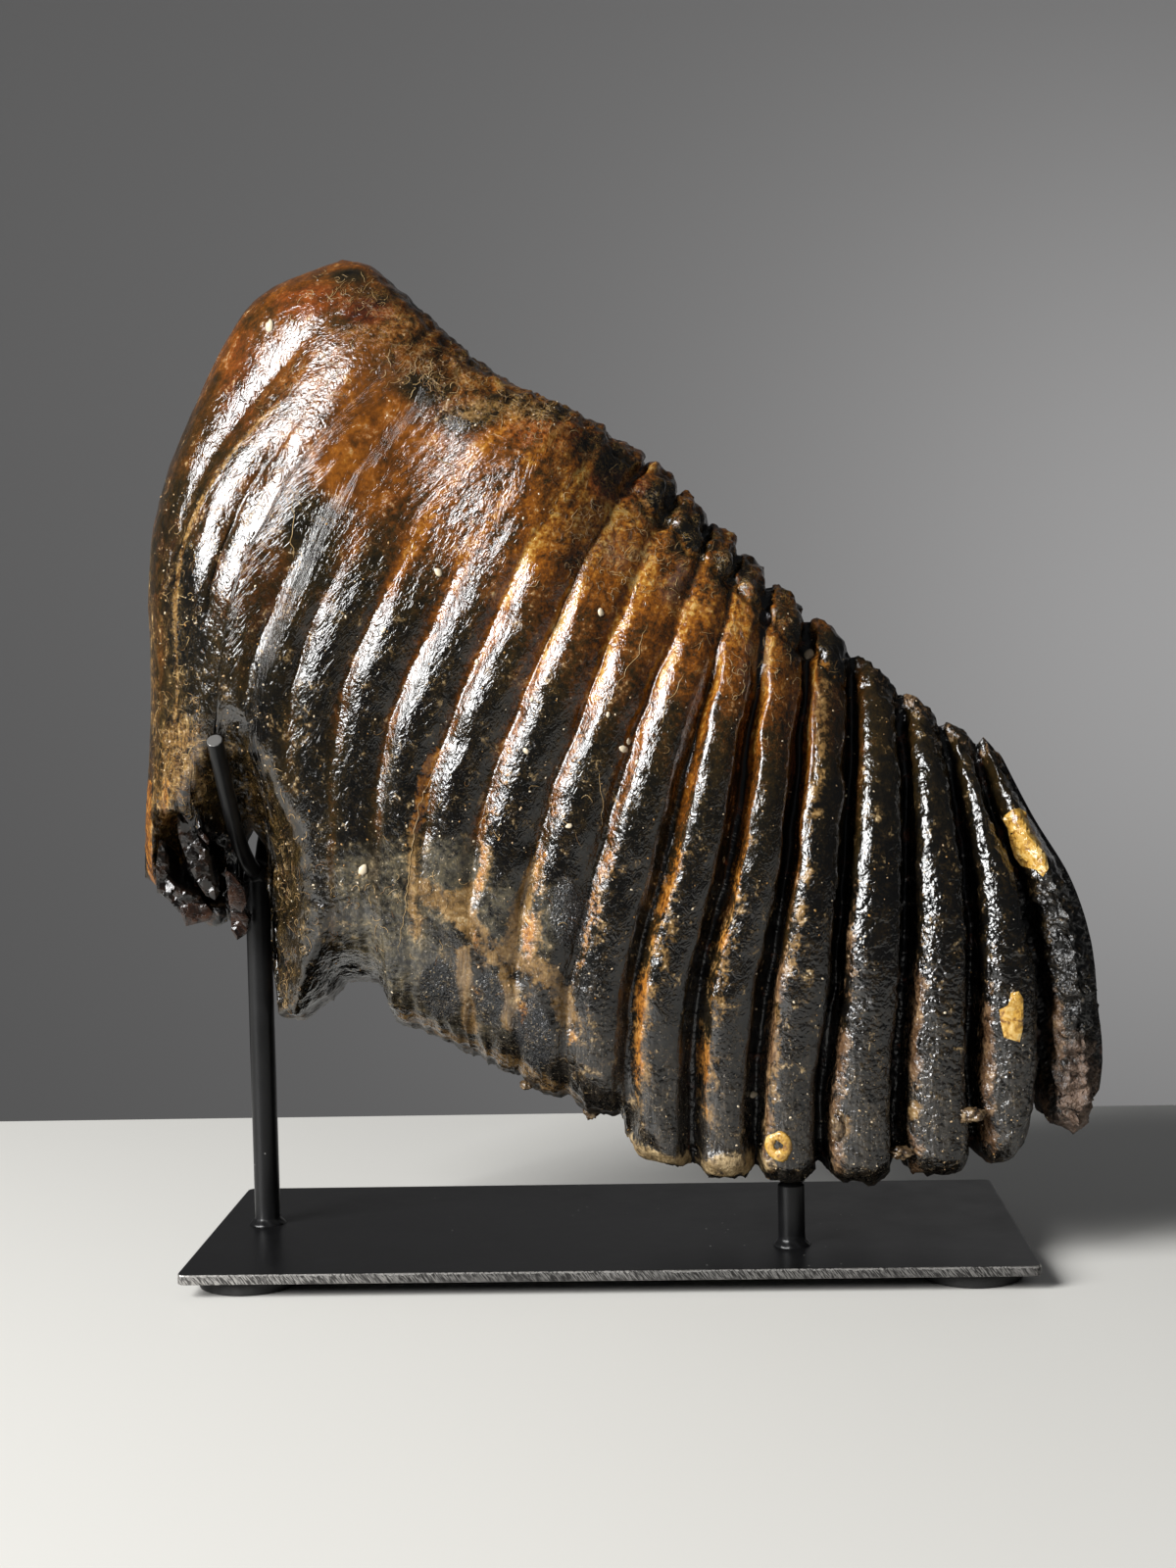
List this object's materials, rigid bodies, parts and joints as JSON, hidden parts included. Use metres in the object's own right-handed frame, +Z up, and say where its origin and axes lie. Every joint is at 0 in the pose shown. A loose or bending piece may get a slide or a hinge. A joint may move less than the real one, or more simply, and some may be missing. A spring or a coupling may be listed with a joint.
{
  "type": "fossil mammoth tooth on stand",
  "caption": "Fossil mammoth molar: a tall body of upright enamel ridges with a broken root and a glossy varnish, held by a forked rod and a short post on a flat black steel base.",
  "frame": {"origin": "bottom centre of the whole part's bounding box, on the surface that the pads stand on", "axes": "+Z up; +X from the tooth's broken root end to its free plates, along the base; +Y from the shown front to the back"},
  "size_m": [0.296, 0.108, 0.3093],
  "materials": {
    "tooth": "mineralised enamel and cement, rust brown to black, under a thick clear gloss varnish",
    "steel": "satin black coat over mild steel, filed edges and cut ends brighter",
    "pads": "matt black"
  },
  "bodies": {
    "root": {"tooth": "tooth", "base_plate": "steel", "tall_post": "steel", "front_prong": "steel", "back_prong": "steel", "short_post": "steel", "cross_rod": "steel", "pad_front_left": "pads", "pad_front_right": "pads", "pad_back_left": "pads", "pad_back_right": "pads"}
  },
  "joints": []
}
